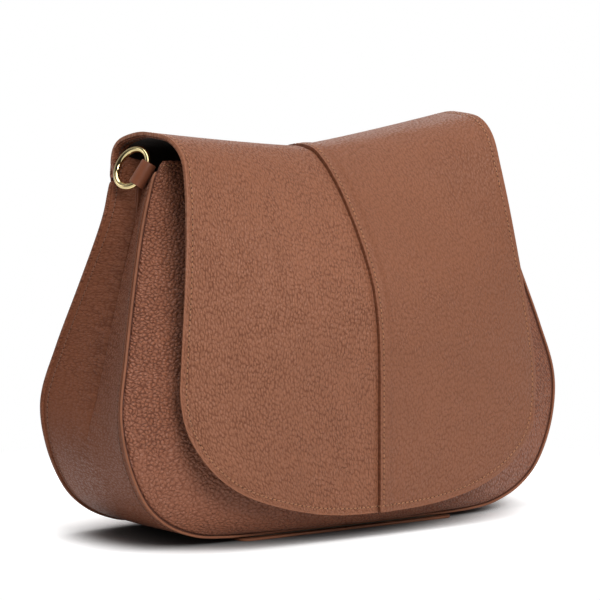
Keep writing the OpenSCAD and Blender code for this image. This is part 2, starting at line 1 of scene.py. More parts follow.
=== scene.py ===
import math
import bpy
import numpy as np
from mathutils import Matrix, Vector


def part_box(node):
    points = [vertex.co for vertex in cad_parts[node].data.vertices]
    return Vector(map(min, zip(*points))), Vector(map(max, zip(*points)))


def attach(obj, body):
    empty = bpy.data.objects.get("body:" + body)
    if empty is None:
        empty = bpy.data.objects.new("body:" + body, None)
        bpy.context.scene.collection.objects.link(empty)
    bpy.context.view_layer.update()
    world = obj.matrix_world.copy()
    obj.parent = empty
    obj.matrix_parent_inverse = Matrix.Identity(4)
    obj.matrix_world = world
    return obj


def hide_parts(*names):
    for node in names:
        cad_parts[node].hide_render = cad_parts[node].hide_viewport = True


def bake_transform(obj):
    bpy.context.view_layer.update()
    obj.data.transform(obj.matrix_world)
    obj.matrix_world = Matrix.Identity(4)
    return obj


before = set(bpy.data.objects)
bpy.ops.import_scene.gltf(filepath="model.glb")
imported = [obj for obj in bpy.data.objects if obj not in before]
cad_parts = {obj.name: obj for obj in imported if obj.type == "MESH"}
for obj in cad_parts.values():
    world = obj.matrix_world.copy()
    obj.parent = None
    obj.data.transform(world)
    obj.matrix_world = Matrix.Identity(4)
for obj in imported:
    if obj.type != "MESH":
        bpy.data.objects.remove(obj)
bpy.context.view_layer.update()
bpy.ops.object.select_all(action="DESELECT")
scene = bpy.context.scene
scene.view_settings.view_transform = "Standard"

# ---- camera and lamps


def aim(thing, place, target):
    """Turn a camera or a lamp at its place towards a target."""
    thing.rotation_mode = "QUATERNION"
    thing.rotation_quaternion = (Vector(target) - Vector(place)).to_track_quat("-Z", "Y")


camera_place = (-1.9915, -2.8413, 0.582)
bpy.ops.object.camera_add(location=camera_place)
camera = bpy.context.object
aim(camera, camera_place, (0, 0.0025, 0.1375))
camera.data.lens, camera.data.sensor_width, camera.data.clip_end = 337, 36, 30
scene.camera = camera

for name, place, target_z, size, power in (
        ("key_softbox", (-0.2, -2.6, 1.7), 0.12, (1.6, 1.2), 58),
        ("top_softbox", (-0.2, 0.0, 2.2), 0.1, (2.0, 1.6), 30),
        ("back_softbox", (0.9, 2.3, 1.5), 0.1, (1.6, 1.2), 14),
        ("side_softbox", (-1.9, 1.9, 0.8), 0.1, (1.0, 1.0), 4)):
    bpy.ops.object.light_add(type="AREA", location=place)
    lamp = bpy.context.object
    lamp.name = name
    aim(lamp, place, (0, 0, target_z))
    lamp.data.shape = "RECTANGLE"
    lamp.data.size, lamp.data.size_y = size
    lamp.data.energy = power

# ---- ways of painting


class Paint:
    """The nodes of a new material, or of the world. Sockets are joined, and other values are set."""

    def __init__(self, owner):
        owner.use_nodes = True
        owner.node_tree.nodes.clear()
        self.owner = owner

    def add(self, kind, sockets=None, **settings):
        node = self.owner.node_tree.nodes.new("ShaderNode" + kind)
        for key, value in settings.items():
            setattr(node, key, value)
        for key, value in (sockets or {}).items():
            socket = node.inputs[key]
            if isinstance(value, bpy.types.NodeSocket):
                self.owner.node_tree.links.new(value, socket)
            else:
                socket.default_value = (*value, 1) if socket.type == "RGBA" else value
        return node

    def math(self, operation, a, b=0.0):
        return self.add("Math", {0: a, 1: b}, operation=operation).outputs[0]

    def plus(self, a, b):
        return self.math("ADD", a, b)

    def times(self, a, b):
        return self.math("MULTIPLY", a, b)

    def ranged(self, value, low, high, to_low=0.0, to_high=1.0, kind="SMOOTHSTEP"):
        return self.add("MapRange", {"Value": value, "From Min": low, "From Max": high, "To Min": to_low,
                                     "To Max": to_high}, interpolation_type=kind).outputs[0]

    def tint(self, fac, first, second):
        return self.add("Mix", {"Factor": fac, 6: first, 7: second}, data_type="RGBA").outputs[2]

    def blend(self, fac, first, second):
        """Two shaders mixed."""
        return self.add("MixShader", {"Fac": fac, 1: first.outputs[0], 2: second.outputs[0]})

    def place(self):
        return self.add("TexCoord").outputs["Object"]

    def noise(self, vector, scale, detail, roughness=0.5, output="Fac"):
        return self.add("TexNoise", {"Vector": vector, "Scale": scale, "Detail": detail,
                                     "Roughness": roughness}).outputs[output]

    def cells(self, vector, scale, feature, sockets, dimensions="3D"):
        return self.add("TexVoronoi", {"Vector": vector, "Scale": scale, **sockets},
                        voronoi_dimensions=dimensions, feature=feature).outputs["Distance"]

    def drifted(self, vector, scale, detail, amount):
        """A place pushed about a little, so that no pattern on it runs straight."""
        drift = self.noise(vector, scale, detail, output="Color")
        centred = self.add("VectorMath", {0: drift, 1: (0.5, 0.5, 0.5)}, operation="SUBTRACT").outputs[0]
        scaled = self.add("VectorMath", {0: centred, "Scale": amount}, operation="SCALE").outputs[0]
        return self.add("VectorMath", {0: vector, 1: scaled}, operation="ADD").outputs[0]

    def laid(self, vector, length, angle=0):
        """A place along and across a grain that runs at an angle: length is each feature's size."""
        return self.add("Mapping", {"Vector": vector, "Scale": (*length, 1),
                                    "Rotation": (0, 0, math.radians(angle))}, vector_type="TEXTURE").outputs[0]

    def seen_directly(self):
        """One where a ray comes from the camera or off a shiny surface, and nought for soft light."""
        path = self.add("LightPath").outputs
        first = self.math("MAXIMUM", path["Is Camera Ray"], path["Is Glossy Ray"])
        return self.math("MAXIMUM", first, path["Is Transmission Ray"])

    def finish(self, tone, roughness, height, distance, sockets, strength=1):
        """The main shader, with the height as its relief."""
        bump = self.add("Bump", {"Strength": strength, "Distance": distance, "Height": height}).outputs[0]
        shader = self.add("BsdfPrincipled", {"Base Color": tone, "Roughness": roughness, "Normal": bump,
                                             **sockets})
        self.add("OutputMaterial", {"Surface": shader.outputs[0]})
        return self.owner


def new_paint(name):
    return Paint(bpy.data.materials.new(name))


def dyed(colour, *shares):
    """A colour with its red, green and blue multiplied: by one share, or by one each."""
    return tuple(min(1, c * share) for c, share in zip(colour, shares * (3 // len(shares))))


# ---- world and floor
studio = Paint(bpy.data.worlds.new("studio"))
scene.world = studio.owner


def facing(direction, low, high, to_low, to_high):
    ray = studio.add("TexCoord").outputs["Generated"]
    dot = studio.add("VectorMath", {0: ray, 1: Vector(direction).normalized()}, operation="DOT_PRODUCT")
    return studio.ranged(dot.outputs["Value"], low, high, to_low, to_high)


# Shiny metal mirrors a grey studio that is dim at the front, with a bright window to the right of the camera
room = studio.plus(facing((-0.45, -0.88, 0.15), -0.4, 0.35, 0.38, 0.04),
                   facing((0.43, -0.88, 0.14), 0.87, 0.94, 0.0, 2.3))
mirrored = studio.add("Mix", {0: studio.add("LightPath").outputs["Is Glossy Ray"], 2: 1, 3: room}).outputs[0]
sky = studio.add("Background", {"Color": (1, 1, 1), "Strength": 0.25})
white = studio.add("Background", {"Color": (1, 1, 1), "Strength": mirrored})
studio.add("OutputWorld", {"Surface": studio.blend(studio.seen_directly(), sky, white).outputs[0]})

bpy.ops.mesh.primitive_plane_add(size=8)
floor = bpy.context.object
floor.name = "floor"
ground = new_paint("floor_paint")
seen = ground.seen_directly()
place = ground.place()
fade = ground.ranged(ground.add("VectorMath", {0: place}, operation="LENGTH").outputs["Value"], 0.20, 0.34)
# How open the floor is to the sky: close under the bag the paint darkens into a painted contact shadow and
# stops glowing
openness = ground.add("AmbientOcclusion", {"Distance": 0.10}, samples=12).outputs["AO"]
# The painted shadow is deeper at the bag's left end
across = ground.add("SeparateXYZ", {0: place}).outputs["X"]
open_sky = ground.plus(openness, ground.ranged(across, -0.15, 0.12, -0.12, 0.15, "LINEAR"))
grey = ground.add("Mix", {0: seen, 2: 0.60, 3: ground.ranged(open_sky, 0.02, 0.58, 0.13, 0.97)}).outputs[0]
matt = ground.add("BsdfDiffuse", {"Color": grey}).outputs[0]
lift = ground.add("Emission", {"Strength": ground.times(ground.ranged(open_sky, 0.25, 0.80, 0.0, 0.55), seen)})
near = ground.add("AddShader", {0: matt, 1: lift.outputs[0]})
glow = ground.add("Emission", {"Strength": 1})
ground.add("OutputMaterial", {"Surface": ground.blend(ground.times(fade, seen), near, glow).outputs[0]})
floor.data.materials.append(ground.owner)

# ---- finishes


def pebbled_leather(name, colour, cell, relief, length, angle, contrast, calm=None, gloss=0.34, creases=None):
    """Full-grain leather: pebbles with valleys between them, wrinkles, pores, and rims that are worn lighter or
    painted darker with shade. Its colour holds painted shade in the valleys and painted highlights on the
    pebbles' tops.

    calm is (axis, from, to, least): the grain flattens to its least depth along that axis. creases is
    (near, far, amount): folds across the sheet, deepest beside its middle line, which also deepen the painted
    valley shade. A positive rim is worn lighter, and a negative one is darkened with painted shade along a
    seam."""
    g = new_paint(name)
    lay, rim = (g.add("Attribute", attribute_name=key).outputs for key in ("lay", "rim"))
    plain = g.place()
    wavy = g.drifted(lay["Vector"], 60, 3, 0.0045)
    grain = g.laid(wavy, length, angle)
    domes = g.cells(grain, 1 / cell, "SMOOTH_F1", {"Randomness": 0.9, "Smoothness": 0.2}, "2D")
    edges = g.cells(grain, 1 / cell, "DISTANCE_TO_EDGE", {"Randomness": 0.9}, "2D")
    pores = g.noise(plain, 2600, 3, 0.6)
    height = g.plus(g.times(g.ranged(domes, 0.70, 0.05), 0.40), g.times(g.ranged(edges, 0.0, 0.22), 0.22))
    height = g.plus(height, g.ranged(g.noise(grain, 1.5 / cell, 2), 0.3, 0.7, 0.0, 0.38))
    rough_height = g.plus(height, g.times(pores, 0.07))
    # The grain is a little deeper in some places than in others
    depth = g.ranged(g.noise(plain, 70, 2), 0.3, 0.7, 0.78, 1.12)
    if calm:
        axis, start, end, least = calm
        depth = g.times(depth, g.ranged(g.add("SeparateXYZ", {0: plain}).outputs[axis], start, end, 1.0, least))
    worn = g.math("MAXIMUM", rim["Fac"], 0)
    rim_shade = g.math("MAXIMUM", g.times(rim["Fac"], -1), 0)
    depth = g.times(depth, g.ranged(worn, 0.2, 1.0, 1.0, 0.25))
    relief_height = g.times(rough_height, depth)
    if creases:
        near, far, amount = creases
        across = g.math("ABSOLUTE", g.add("SeparateXYZ", {0: lay["Vector"]}).outputs["X"])
        close = g.times(g.ranged(across, near, far, amount, amount * 0.2), depth)
        folds = g.ranged(g.noise(g.laid(wavy, (0.012, 0.0028)), 1, 2), 0.3, 0.7)
        fold = g.times(folds, close)
        relief_height = g.plus(relief_height, fold)
        height = g.plus(height, g.times(g.math("SUBTRACT", fold, g.times(close, 0.5)), 0.5))

    # Painted shade darkens the valleys and creases, and painted highlights lighten the pebbles' tops; the
    # lighter colour also shows the worn rims
    valley_shade, highlight_and_wear = dyed(colour, 0.62, 0.52, 0.47), dyed(colour, 1.22, 1.26, 1.32)
    low = g.times(g.ranged(height, 0.52, 0.08, 0.0, 1.6 * contrast), depth)
    high = g.times(g.ranged(height, 0.50, 0.92, 0.0, 1.4 * contrast), depth)
    tone = g.tint(g.ranged(g.noise(plain, 22, 3), 0.3, 0.7), colour, dyed(colour, 0.95))
    tone = g.tint(g.math("MINIMUM", low, 1), tone, valley_shade)
    tone = g.tint(g.math("MINIMUM", high, 1), tone, highlight_and_wear)
    tone = g.tint(g.ranged(worn, 0.3, 1.0, 0.0, 0.55), tone, highlight_and_wear)
    # A negative rim is darkened with painted shade along the seam's groove
    tone = g.tint(g.ranged(rim_shade, 0.3, 0.85, 0.0, 0.9), tone, dyed(colour, 0.36, 0.25, 0.22))
    return g.finish(tone, g.ranged(height, 0.1, 0.9, 0.70, 0.38), relief_height, relief,
                    {"Specular IOR Level": gloss, "Sheen Weight": 0.02, "Sheen Roughness": 0.45})


def smooth_leather(name, colour, roughness):
    """Skived and dyed leather for turned edges and the ring tabs: fine pores, soft shine."""
    g = new_paint(name)
    plain = g.place()
    cells = g.cells(g.drifted(plain, 160, 2, 0.0008), 1100, "DISTANCE_TO_EDGE", {"Randomness": 1})
    pores = g.noise(plain, 2400, 3)
    tone = g.tint(g.ranged(g.noise(plain, 70, 3), 0.3, 0.7), colour, dyed(colour, 0.82))
    return g.finish(tone, g.ranged(pores, 0.2, 0.8, roughness + 0.08, roughness - 0.06),
                    g.plus(g.ranged(cells, 0.0, 0.3), g.times(pores, 0.5)), 0.00003,
                    {"Specular IOR Level": 0.30, "Sheen Weight": 0.02})


def woven_cloth(name, colour, pitch):
    """Plain-woven lining: crossing threads with slubs and a faint sheen."""
    g = new_paint(name)
    plain = g.place()
    x, y, z = g.add("SeparateXYZ", {0: plain}).outputs
    turns = 2 * math.pi / pitch
    warp, weft = (g.math("SINE", g.times(run, turns)) for run in (g.plus(x, y), z))
    weave = g.times(warp, weft)
    slubs = g.noise(plain, 900, 2)
    tone = g.tint(g.ranged(weave, -1.0, 1.0), dyed(colour, 0.72), colour)
    tone = g.tint(g.ranged(g.noise(plain, 30, 2), 0.35, 0.75, 0.0, 0.5), tone, dyed(colour, 1.25))
    return g.finish(tone, g.ranged(slubs, 0.2, 0.8, 0.9, 0.75), g.plus(g.times(weave, 0.5), slubs), 0.00012,
                    {"Specular IOR Level": 0.25, "Sheen Weight": 0.12, "Sheen Roughness": 0.5}, 0.7)


def brass(name, colour, roughness):
    """Polished plated metal with faint rubbing marks."""
    g = new_paint(name)
    plain = g.place()
    haze = g.noise(plain, 120, 2)
    return g.finish(g.tint(g.ranged(haze, 0.3, 0.7), colour, dyed(colour, 0.90)),
                    g.ranged(haze, 0.3, 0.7, roughness, roughness + 0.07),
                    g.noise(plain, 700, 4, 0.65), 0.00002, {"Metallic": 1}, 0.25)


def spun_thread(name, colour):
    g = new_paint(name)
    plain = g.place()
    fibre = g.noise(plain, 3500, 2)
    return g.finish(g.tint(g.ranged(g.noise(plain, 200, 2), 0.3, 0.7), colour, dyed(colour, 0.72)),
                    g.ranged(fibre, 0.2, 0.8, 0.55, 0.7), fibre, 0.00006, {"Sheen Weight": 0.2}, 0.6)


tan = (0.262, 0.096, 0.046)
flap_hide = pebbled_leather("flap_hide", tan, 0.0016, 0.00062, (1.0, 1.9), 4, 0.62)
# The right half is painted darker, as the shade where the light falls off towards the right; its grain is also
# shallower and laid at another angle
flap_hide_shaded_right = pebbled_leather("flap_hide_shaded_right", dyed(tan, 0.90, 0.88, 0.86), 0.0016, 0.00040, (1.0, 1.8),
                                  -12, 0.34)
body_hide = pebbled_leather("body_hide", dyed(tan, 0.98, 0.88, 0.84), 0.0019, 0.00135, (1.0, 1.6), 52, 0.95,
                            calm=("Z", 0.10, 0.03, 0.5), gloss=0.46)
# The gussets are the same hide as the body, painted darker as the shade on sides that face away from the lamps
gusset_hide_shaded = pebbled_leather("gusset_hide_shaded", dyed(tan, 0.76, 0.67, 0.63), 0.0016, 0.00060, (2.0, 1.0), 0, 0.42,
                              calm=("Z", 0.12, 0.06, 0.45), gloss=0.20, creases=(0.004, 0.028, 1.3))
turned_edge = smooth_leather("turned_edge", (0.268, 0.097, 0.046), 0.5)
tab_hide = smooth_leather("tab_hide", (0.225, 0.074, 0.036), 0.36)
# A dark leather that stands for the shade in the front seam's groove: painted shade
painted_seam_shade = smooth_leather("painted_seam_shade", (0.095, 0.030, 0.016), 0.7)
needle_shade = smooth_leather("needle_shade", (0.045, 0.018, 0.011), 0.8)
board_fibre = smooth_leather("board_fibre", (0.10, 0.075, 0.05), 0.6)
lining_weave = woven_cloth("lining_weave", (0.045, 0.027, 0.020), 0.0006)
tape_weave = woven_cloth("tape_weave", (0.05, 0.032, 0.024), 0.0011)
ring_brass = brass("ring_brass", (0.74, 0.60, 0.31), 0.06)
small_brass = brass("small_brass", (0.74, 0.58, 0.32), 0.22)
tan_thread = spun_thread("tan_thread", (0.43, 0.185, 0.08))
dark_thread = spun_thread("dark_thread", (0.22, 0.085, 0.04))
lining_thread = spun_thread("lining_thread", (0.09, 0.05, 0.035))

# ---- the bag's surfaces, in millimetres
MM = 0.001
body_w, body_h = 328, 234
seam_front, seam_back = 50, 45
front_reach, back_reach = 75, 66
fold_depth, fold_power = 18, 1.4
panel_t, gusset_t, lining_t = 1.6, 1.4, 0.8
piping_r, base_t = 1.5, 1.6
flap_w, hem_z = 268, 15
layer_gap, seam_gap = 0.3, 0.2
seam_step, seam_fold = 1.2, 8
hinge_share, facing_share, dip_share, mouth_dip_share = 0.95, 0.88, 0.64, 0.075
hinge_y, hinge_z, flap_reach = 26.994, 218.903, 82.384
flap_total = 3.1
outline_shares = np.array([
    [0, 0.45, 0], [0.08, 0.57, 0.002], [0.16, 0.693, 0.013], [0.24, 0.816, 0.05],
    [0.32, 0.91, 0.114], [0.42, 0.98, 0.228], [0.52, 1, 0.349], [0.64, 0.956, 0.487],
    [0.78, 0.884, 0.668], [0.88, 0.819, 0.825], [0.95, 0.765, 0.935], [1, 0.727, 1]])
front_shares = np.array([
    [0, 1, 0.667], [0.08, 0.99, 0.765], [0.16, 0.97, 0.85], [0.24, 0.96, 0.93],
    [0.32, 0.95, 0.978], [0.42, 0.93, 1], [0.52, 0.88, 1], [0.64, 0.77, 0.98],
    [0.78, 0.59, 0.85], [0.88, 0.46, 0.62], [0.95, 0.39, 0.45], [1, 0.36, 0.34]])
back_shares = np.array([
    [0, 0.89, 0.606], [0.08, 0.9, 0.69], [0.16, 0.91, 0.77], [0.24, 0.93, 0.86],
    [0.32, 0.95, 0.93], [0.42, 0.98, 0.985], [0.52, 0.99, 1], [0.64, 0.86, 0.84],
    [0.78, 0.63, 0.49], [0.86, 0.49, 0.37], [0.9, 0.47, 0.38], [0.95, 0.555, 0.409],
    [1, 0.6, 0.38]])
fold_shares = np.array([
    [0, 0], [0.32, -0.06], [0.42, 0], [0.52, 0.48], [0.64, 0.72], [0.78, 0.84],
    [0.9, 0.92], [1, 1]])
flap_edge_shares = np.array([
    [0, 0.929, 1, 1.005], [0.02, 0.921, 1, 1.017], [0.06, 0.905, 1.185, 1.042],
    [0.12, 0.884, 1.246, 1.082], [0.19, 0.873, 1.012, 1.112], [0.27, 0.873, 0.365, 1.135],
    [0.35, 0.873, -0.145, 1.14], [0.43, 0.873, -0.365, 1.127], [0.5, 0.873, -0.506, 1.082],
    [0.58, 0.884, -0.579, 0.996], [0.68, 0.907, -0.64, 0.881], [0.8, 0.94, -0.695, 0.731],
    [0.9, 0.974, -0.738, 0.584], [1, 1, -0.768, 0.448]])
flap_corner_shares = np.array([[1, 0.768], [1.33, 0.82], [1.67, 0.905], [2, 0.945]])
flap_middle_shares = np.array([
    [0, 1, 1], [0.02, 1, 1.01], [0.06, 0.964, 1.028], [0.12, 0.815, 1.048],
    [0.19, 0.52, 1.063], [0.27, 0.149, 1.069], [0.35, -0.098, 1.067], [0.43, -0.244, 1.041],
    [0.5, -0.378, 1], [0.58, -0.537, 0.936], [0.68, -0.732, 0.835], [0.8, -0.915, 0.703],
    [0.9, -0.985, 0.575], [1, -1, 0.448]])
flap_power_shares = np.array([
    [0, 1.4], [0.27, 1.15], [0.45, 1.3], [0.7, 2], [1, 3], [2, 6]])


def smooth(rows, t):
    """A smooth curve through the rows of a table, one column at a time."""
    t = np.asarray(t, float)
    i = np.clip(np.searchsorted(rows[:, 0], t, side="right") - 1, 0, len(rows) - 2)
    h = (rows[i + 1, 0] - rows[i, 0])[..., None]
    s = (t[..., None] - rows[i, 0][..., None]) / h

    def slope(k):
        a, b = np.maximum(k - 1, 0), np.minimum(k + 1, len(rows) - 1)
        return (rows[b, 1:] - rows[a, 1:]) / (rows[b, 0] - rows[a, 0])[..., None]

    return (rows[i, 1:] * (2 * s ** 3 - 3 * s ** 2 + 1) + slope(i) * h * (s ** 3 - 2 * s ** 2 + s)
            + rows[i + 1, 1:] * (3 * s ** 2 - 2 * s ** 3) + slope(i + 1) * h * (s ** 3 - s ** 2))


def unit(v):
    return v / np.maximum(np.linalg.norm(v, axis=-1, keepdims=True), 1e-12)


def mix(a, b, f):
    return a + (b - a) * f


def xyz(x, y, z):
    return np.stack(np.broadcast_arrays(x, y, z), axis=-1)


seam_z = base_t + seam_gap + piping_r
edge_gap = piping_r + seam_gap


def seam(t):
    p = smooth(outline_shares, t)
    return np.stack([p[..., 0] * body_w / 2, mix(seam_z, body_h, p[..., 1])], axis=-1)


def seam_out(t):
    d = unit(seam(np.minimum(t + 0.01, 1)) - seam(np.maximum(t - 0.01, 0)))
    return np.stack([d[..., 1], -d[..., 0]], axis=-1)


def panel_edge(t, gap=edge_gap):
    return seam(t) - seam_out(t) * gap


def front_seam(t):
    return -smooth(front_shares, t)[..., 0] * seam_front


def back_seam(t):
    return smooth(back_shares, t)[..., 0] * seam_back


def dip(t):
    return mouth_dip_share * body_h * np.maximum(0, (t - dip_share) / (1 - dip_share)) ** 2


def fold_at(t):
    return smooth(fold_shares, t)[..., 0] * fold_depth


def gusset_margin(t):
    slope = np.maximum(0, 2 * fold_power * fold_at(t) / (back_seam(t) - front_seam(t)))
    return edge_gap + gusset_t * slope / np.sqrt(1 + slope ** 2)


def front_surface(s, t):
    e, middle = panel_edge(t), -smooth(front_shares, t)[..., 1] * front_reach
    return xyz(s * e[..., 0], mix(middle, front_seam(t), s ** 2), e[..., 1] - dip(t) * (1 - s ** 2) ** 2)


def back_surface(s, t):
    e, middle = panel_edge(t), smooth(back_shares, t)[..., 1] * back_reach
    return xyz(s * e[..., 0], mix(middle, back_seam(t), s ** 2), e[..., 1])


def gusset_surface(v, t):
    p = seam(t)
    q = p - seam_out(t) * (fold_at(t) * (1 - np.abs(2 * v - 1) ** fold_power))[..., None]
    return xyz(q[..., 0], mix(front_seam(t) + gusset_margin(t), back_seam(t) - gusset_margin(t), v), q[..., 1])


corner_w = flap_w / 2
wide_z = smooth(flap_edge_shares, 1.0)[2] * hinge_z
corner_h = wide_z - hem_z
oblong_power, corner_angle = 2.5, 52
fold_zone_share, fold_flat_share = 0.1, 0.8
flat = seam_fold / fold_flat_share
# The left half hangs a little higher towards its corner
hitch_height, hitch_x, hitch_reach = 1.8, -74, 32


def oblong(angle):
    a = np.radians(angle)
    return (corner_w * np.maximum(np.sin(a), 0) ** (2 / oblong_power),
            corner_h * np.maximum(np.cos(a), 0) ** (2 / oblong_power))


lowest = oblong(corner_angle)


def flap_depth(share):
    return share * np.where(share > 0, hinge_y, flap_reach)


def flap_edge(u):
    e = smooth(flap_edge_shares, np.minimum(u, 1))
    p = oblong(90 - (np.maximum(u, 1) - 1) * (90 - corner_angle))
    upper = xyz(e[..., 0] * corner_w, flap_depth(e[..., 1]), e[..., 2] * hinge_z)
    lower = xyz(p[0], -smooth(flap_corner_shares, np.maximum(u, 1))[..., 0] * flap_reach, wide_z - p[1])
    return np.where((u <= 1)[..., None], upper, lower)


def flap_middle(u):
    m = smooth(flap_middle_shares, np.minimum(u, 1))
    y = np.where(u <= 1, flap_depth(m[..., 0]), -flap_reach)
    return y, np.where(u <= 1, m[..., 1] * hinge_z, wide_z - corner_h * (u - 1))


def flap_x(q, w):
    return np.where(q < fold_zone_share, q / fold_zone_share * flat,
                    mix(flat, w, (q - fold_zone_share) / (1 - fold_zone_share)))


def flap_q(x, w=corner_w):
    """The share of the flap's half width w at which it lies x from its middle."""
    return np.where(x < flat, x / flat * fold_zone_share, mix(fold_zone_share, 1, (x - flat) / (w - flat)))


def flap_surface(q, u):
    q, u = np.broadcast_arrays(np.asarray(q, float), np.asarray(u, float))
    e, (my, mz) = flap_edge(u), flap_middle(u)
    x = flap_x(np.abs(q), e[..., 0])
    s = np.clip(x / e[..., 0], 0, 1)
    power = smooth(flap_power_shares, u)[..., 0]
    drop = corner_h * np.maximum(0, 1 - (s * lowest[0] / corner_w) ** oblong_power) ** (1 / oblong_power)
    turn = np.where(u <= 1, s ** power, (corner_h - drop) / (corner_h - lowest[1]))
    hitch = hitch_height * np.clip(u - 1, 0, 1) ** 2 * np.exp(-((np.sign(q) * x - hitch_x) / hitch_reach) ** 2)
    return xyz(np.sign(q) * x, mix(my, e[..., 1], s ** power), mix(mz, e[..., 2], turn) + hitch)


# The farthest place across, and the first and last along, where a panel's direction is measured
panel_limits = (0.93, 0.08, 1)


def normal(face, a, b):
    """The outward direction of a face: of a surface, on one side, measured at the limits beyond them."""
    surface, side, limits = face
    a = np.sign(a) * np.minimum(np.abs(a), limits[0])
    b = np.clip(b, limits[1], limits[2])
    h = 0.002
    return side * unit(np.cross(surface(a + h, b) - surface(a - h, b), surface(a, b + h) - surface(a, b - h)))


# How far the gusset hangs outwards and back of its cut, its crease is drawn in and its corner tucked down
slack_out, slack_back, crease_pull, corner_tuck = 6.0, 3.2, 1.3, 9.5


def creased_gusset(v, t):
    """The gusset as it hangs: a looser fold than it was cut with, drawn into a sharp line at its depth."""
    p = gusset_surface(v, t)
    away = seam_out(t)
    pull = crease_pull * np.exp(-np.abs((v - 0.5) / 0.022) ** 1.5) * np.clip(fold_at(t) / 9, 0, 1)
    loose = (np.interp(t, (0.54, 0.64, 0.72, 0.80, 0.86, 1), (0, 0.42, 0.70, 0.90, 1, 1.1))
             * (1 - np.abs(2 * v - 1) ** 1.6))
    out = slack_out * loose - pull
    # The front half's upper edge is tucked below the front panel's corner
    tucked = corner_tuck * np.clip((t - 0.91) / 0.09, 0, 1) ** 2 * np.clip(1 - v / 0.5, 0, 1) ** 0.7
    return p + xyz(away[..., 0] * out, slack_back * loose, away[..., 1] * out - tucked)


front_face, back_face = (front_surface, 1, panel_limits), (back_surface, -1, panel_limits)
flap_face = (flap_surface, -1, (0.93, 0, 1.84))

# ---- ways of making


def active(piece):
    bpy.ops.object.select_all(action="DESELECT")
    piece.select_set(True)
    bpy.context.view_layer.objects.active = piece


def edit(piece):
    """Open a piece in edit mode, with all of it selected."""
    active(piece)
    bpy.ops.object.mode_set(mode="EDIT")
    bpy.ops.mesh.select_all(action="SELECT")


def end_edit():
    bpy.ops.object.mode_set(mode="OBJECT")


def every(items, key, width=1, kind=float):
    """One property of all the items of a mesh."""
    found = np.empty(len(items) * width, kind)
    items.foreach_get(key, found)
    return found.reshape(-1, width) if width > 1 else found


def vertices(piece):
    return every(piece.data.vertices, "co", 3)


def move_vertices(piece, co):
    piece.data.vertices.foreach_set("co", np.ascontiguousarray(co, dtype=float).ravel())
    piece.data.update()


def new_attribute(piece, name, kind, key, values):
    attribute = piece.data.attributes.new(name, kind, "POINT")
    attribute.data.foreach_set(key, values.astype(np.float32).ravel())


def apply(piece, kind, **values):
    active(piece)
    modifier = piece.modifiers.new(kind.lower(), kind)
    for key, value in values.items():
        setattr(modifier, key, value)
    bpy.ops.object.modifier_apply(modifier=modifier.name)


def cut_cloth(name, columns, rows, shape, outward=None, closed=False):
    """A grid is cut over the columns and rows, and each of its crossings laid where the shape puts it."""
    bpy.ops.mesh.primitive_grid_add(x_subdivisions=len(columns) - 1, y_subdivisions=len(rows) - 1, size=2)
    piece = bpy.context.object
    piece.name = piece.data.name = name
    co = vertices(piece)
    a = np.interp(co[:, 0], np.linspace(-1, 1, len(columns)), columns)
    b = np.interp(co[:, 1], np.linspace(-1, 1, len(rows)), rows)
    points = shape(a, b)
    move_vertices(piece, points * MM)
    # How far each crossing lies along the sheet: the hide's grain follows it
    grid = points.reshape(len(rows), len(columns), 3)
    lay = np.zeros_like(grid)
    lay[:, 1:, 0] = np.linalg.norm(np.diff(grid, axis=1), axis=2).cumsum(axis=1)
    lay[1:, :, 1] = np.linalg.norm(np.diff(grid, axis=0), axis=2).cumsum(axis=0)
    lay[..., 0] = np.abs(lay[..., 0] - lay[:, -1:, 0] / 2) if closed else lay[..., 0] - lay[:, -1:, 0] / 2
    new_attribute(piece, "lay", "FLOAT_VECTOR", "vector", lay * MM)
    if outward is not None:
        faces = piece.data.polygons
        corner = every(piece.data.loops, "vertex_index", kind=int)[every(faces, "loop_start", kind=int)]
        if np.sum(every(faces, "normal", 3) * outward(a, b)[corner]) < 0:
            edit(piece)
            bpy.ops.mesh.flip_normals()
            end_edit()
    return piece, a, b


def close_up(piece, caps=True):
    """Merge the doubled seam of a sweep, close its ends and turn its faces outwards."""
    edit(piece)
    bpy.ops.mesh.remove_doubles(threshold=1e-6)
    if caps:
        bpy.ops.mesh.select_all(action="DESELECT")
        bpy.ops.mesh.select_mode(type="EDGE")
        bpy.ops.mesh.select_non_manifold()
        bpy.ops.mesh.edge_face_add()
    bpy.ops.mesh.select_all(action="SELECT")
    bpy.ops.mesh.normals_make_consistent(inside=False)
    end_edit()


def finished(piece, material, body, slot, *stands_for):
    piece.data.materials.clear()
    piece.data.materials.append(material)
    active(piece)
    bpy.ops.object.shade_smooth_by_angle(angle=math.radians(40))
    if body:
        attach(piece, body)
    if stands_for:
        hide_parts(*stands_for)
    return piece


def distance_to(points, line):
    """How far each point lies from a dense line of points."""
    best = np.full(len(points), 1e9)
    for start in range(0, len(line), 200):
        gap = np.linalg.norm(points[:, None, :] - line[None, start:start + 200, :], axis=2).min(axis=1)
        best = np.minimum(best, gap)
    return best


def mark_rim(piece, line, reach, strength=1):
    """How close each vertex lies to the edge: above nought for a worn rim, below for a rim darkened with
    painted shade along a seam.
    """
    gap = distance_to(vertices(piece) / MM, line)
    new_attribute(piece, "rim", "FLOAT", "value", strength * np.exp(-(gap / reach) ** 2))


